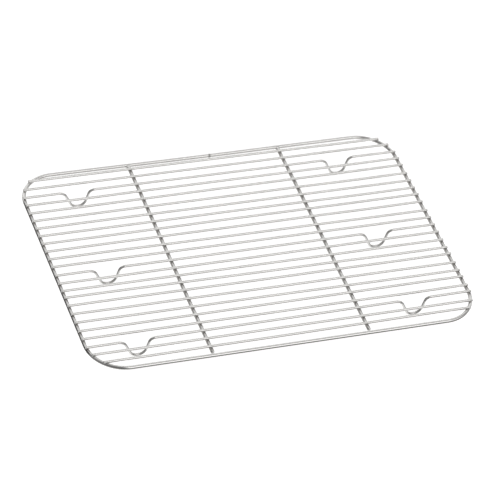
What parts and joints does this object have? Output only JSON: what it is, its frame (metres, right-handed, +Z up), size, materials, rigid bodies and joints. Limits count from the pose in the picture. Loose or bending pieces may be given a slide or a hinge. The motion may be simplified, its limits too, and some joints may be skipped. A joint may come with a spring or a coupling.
{
  "type": "cooling rack",
  "caption": "Flat rectangular cooling rack welded from round stainless-steel wire: a round-cornered rim, parallel grid wires, cross bearers and U-bent feet.",
  "frame": {"origin": "middle of the rack's footprint, on the plane the feet stand on", "axes": "+X along the grid wires (the long way), +Y to the back, +Z up"},
  "size_m": [0.368, 0.254, 0.0209],
  "materials": {
    "rim_wire": "electropolished stainless-steel wire",
    "bearer_wire": "electropolished stainless-steel wire",
    "grid_wire": "electropolished stainless-steel wire, lightly drawn along its length",
    "foot_wire": "electropolished stainless-steel wire, lightly drawn along its length"
  },
  "bodies": {
    "root": {"rim_frame": "rim_wire", "bearer_left": "bearer_wire", "bearer_right": "bearer_wire", "grid_wire_01": "grid_wire", "grid_wire_02": "grid_wire", "grid_wire_04": "grid_wire", "grid_wire_05": "grid_wire", "grid_wire_06": "grid_wire", "grid_wire_07": "grid_wire", "grid_wire_08": "grid_wire", "grid_wire_09": "grid_wire", "grid_wire_10": "grid_wire", "grid_wire_11": "grid_wire", "grid_wire_12": "grid_wire", "grid_wire_14": "grid_wire", "grid_wire_15": "grid_wire", "grid_wire_16": "grid_wire", "grid_wire_17": "grid_wire", "grid_wire_18": "grid_wire", "grid_wire_19": "grid_wire", "grid_wire_20": "grid_wire", "grid_wire_21": "grid_wire", "grid_wire_23": "grid_wire", "grid_wire_24": "grid_wire", "foot_wire_back": "foot_wire", "foot_wire_middle": "foot_wire", "foot_wire_front": "foot_wire"}
  },
  "joints": []
}
